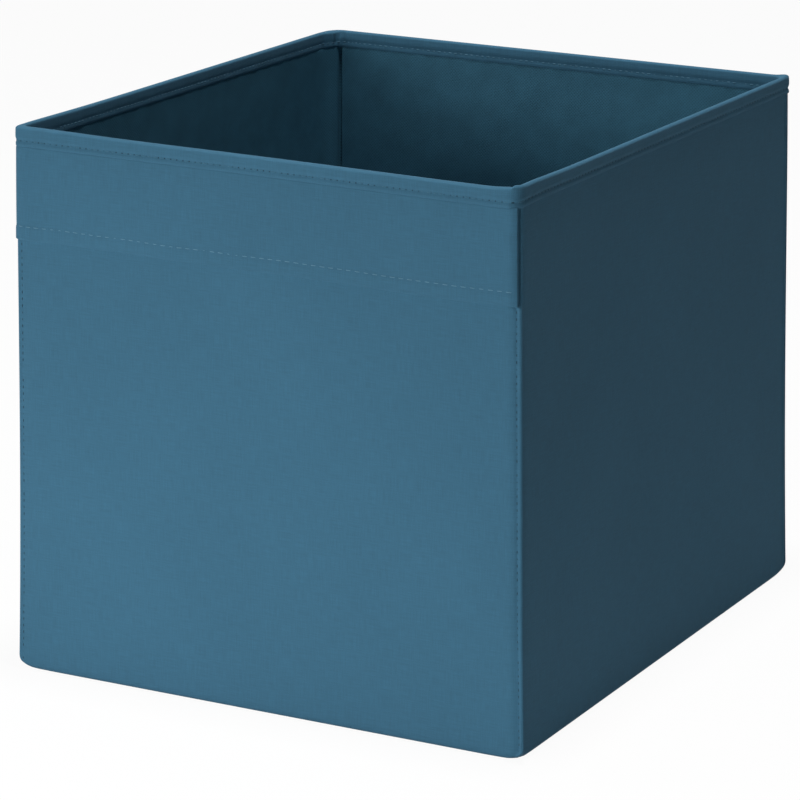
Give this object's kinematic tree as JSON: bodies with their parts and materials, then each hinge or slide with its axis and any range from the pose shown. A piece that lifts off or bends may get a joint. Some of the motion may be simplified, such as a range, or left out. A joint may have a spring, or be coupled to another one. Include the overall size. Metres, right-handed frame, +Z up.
{
  "type": "fabric storage bin",
  "caption": "Open-top rectangular fabric storage bin with board-stiffened cloth walls, a bound rim, a sewn-on front pull band and a loose stiff bottom insert.",
  "frame": {"origin": "on the floor, under the middle of the bin", "axes": "+X to the right of someone facing the front, +Y from the front with the pull band to the back, +Z up"},
  "size_m": [0.3306, 0.3822, 0.33],
  "materials": {
    "outer_cloth": "matte",
    "nonwoven": "matte",
    "paperboard": "matte",
    "thread": "matte"
  },
  "bodies": {
    "shell": {"front_cloth": "outer_cloth", "right_cloth": "outer_cloth", "back_cloth": "outer_cloth", "left_cloth": "outer_cloth", "floor_cloth": "outer_cloth", "front_board": "paperboard", "right_board": "paperboard", "back_board": "paperboard", "left_board": "paperboard", "front_lining": "nonwoven", "right_lining": "nonwoven", "back_lining": "nonwoven", "left_lining": "nonwoven", "floor_lining": "nonwoven", "rim_binding": "outer_cloth", "pull_band_header": "outer_cloth", "rim_stitching": "thread", "corner_stitching": "thread"},
    "band": {"pull_band": "outer_cloth", "band_hem_stitching": "thread"},
    "insert": {"insert_bottom_cover": "nonwoven", "insert_board": "paperboard", "insert_top_cover": "nonwoven", "insert_stitching": "thread"}
  },
  "joints": [
    {"name": "band_pull", "type": "hinge", "parent": "shell", "child": "band", "pos_m": [0, -0.1901, 0.3189], "axis": [-1, 0, 0], "range_deg": [0, 20], "stiffness_Nm_per_rad": 0.02},
    {"name": "insert_lift", "type": "slide", "parent": "shell", "child": "insert", "axis": [0, 0, 1], "range_m": [0, 0.345]}
  ]
}
